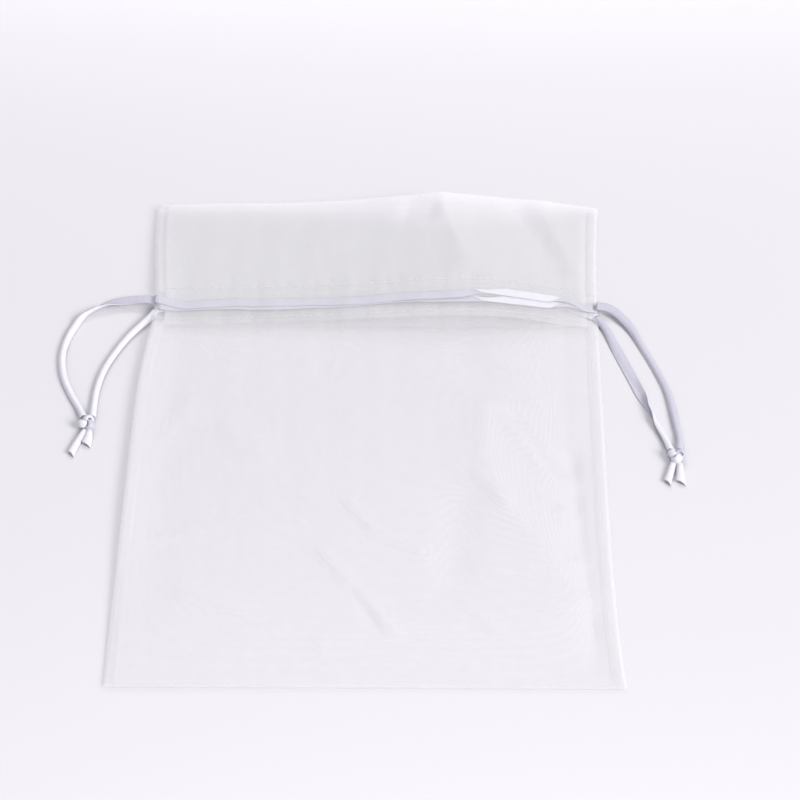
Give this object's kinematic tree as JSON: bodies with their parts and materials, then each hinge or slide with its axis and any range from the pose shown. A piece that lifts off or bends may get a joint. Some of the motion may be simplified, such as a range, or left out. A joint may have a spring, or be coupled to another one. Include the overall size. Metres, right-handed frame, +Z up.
{
  "type": "drawstring pouch",
  "caption": "Sheer flat drawstring pouch with a header, a stitched channel and a double ribbon drawstring ending in knotted pull loops.",
  "frame": {"origin": "on the surface the pouch lies on, under the middle of its cloth", "axes": "+Z up out of the surface, +Y from the bottom fold to the mouth, +X across the pouch to the right when the puffed front wall faces up"},
  "size_m": [0.1725, 0.18, 0.0082],
  "materials": {
    "organza": "satin",
    "thread": "matte",
    "ribbon": "gloss"
  },
  "bodies": {
    "bag": {"back_panel": "organza", "front_panel": "organza", "bottom_fold": "organza", "back_facing": "organza", "front_facing": "organza", "back_mouth_fold": "organza", "front_mouth_fold": "organza", "left_body_seam": "organza", "right_body_seam": "organza", "left_body_stitches": "thread", "right_body_stitches": "thread", "front_upper_stitches": "thread", "front_lower_stitches": "thread", "back_upper_stitches": "thread", "back_lower_stitches": "thread"},
    "left_gather": {"left_header_seam": "organza", "left_header_stitches": "thread"},
    "right_gather": {"right_header_seam": "organza", "right_header_stitches": "thread"},
    "left_ribbon": {"left_drawstring": "ribbon"},
    "right_ribbon": {"right_drawstring": "ribbon"},
    "left_loop": {"left_front_strand": "ribbon", "left_back_strand": "ribbon", "left_knot": "ribbon", "left_long_tail": "ribbon", "left_short_tail": "ribbon"},
    "right_loop": {"right_front_strand": "ribbon", "right_back_strand": "ribbon", "right_knot": "ribbon", "right_long_tail": "ribbon", "right_short_tail": "ribbon"}
  },
  "joints": [
    {"name": "left_pull", "type": "slide", "parent": "bag", "child": "left_ribbon", "axis": [-1, 0, 0], "range_m": [0, 0.05]},
    {"name": "right_pull", "type": "slide", "parent": "bag", "child": "right_ribbon", "axis": [1, 0, 0], "range_m": [0, 0.05]},
    {"name": "left_gathering", "type": "slide", "parent": "bag", "child": "left_gather", "axis": [1, 0, 0], "range_m": [0, 0.05], "deforming": ["front_panel", "back_panel", "front_facing", "back_facing", "front_mouth_fold", "back_mouth_fold", "front_upper_stitches", "front_lower_stitches", "back_upper_stitches", "back_lower_stitches", "left_body_seam", "left_body_stitches"]},
    {"name": "right_gathering", "type": "slide", "parent": "bag", "child": "right_gather", "axis": [-1, 0, 0], "range_m": [0, 0.05], "deforming": ["right_body_seam", "right_body_stitches"]},
    {"name": "left_swing", "type": "hinge", "parent": "left_ribbon", "child": "left_loop", "pos_m": [-0.06263, 0.04915, 0.001], "axis": [0, 0, -1], "range_deg": [-8, 74], "deforming": ["left_front_strand", "left_back_strand"]},
    {"name": "right_swing", "type": "hinge", "parent": "right_ribbon", "child": "right_loop", "pos_m": [0.06313, 0.04585, 0.001], "axis": [0, 0, 1], "range_deg": [-8, 72], "deforming": ["right_front_strand", "right_back_strand"]}
  ],
  "couplings": [
    {"joint": "right_pull", "follows": "left_pull", "ratio": 1},
    {"joint": "left_gathering", "follows": "left_pull", "ratio": 1},
    {"joint": "right_gathering", "follows": "left_pull", "ratio": 1}
  ]
}
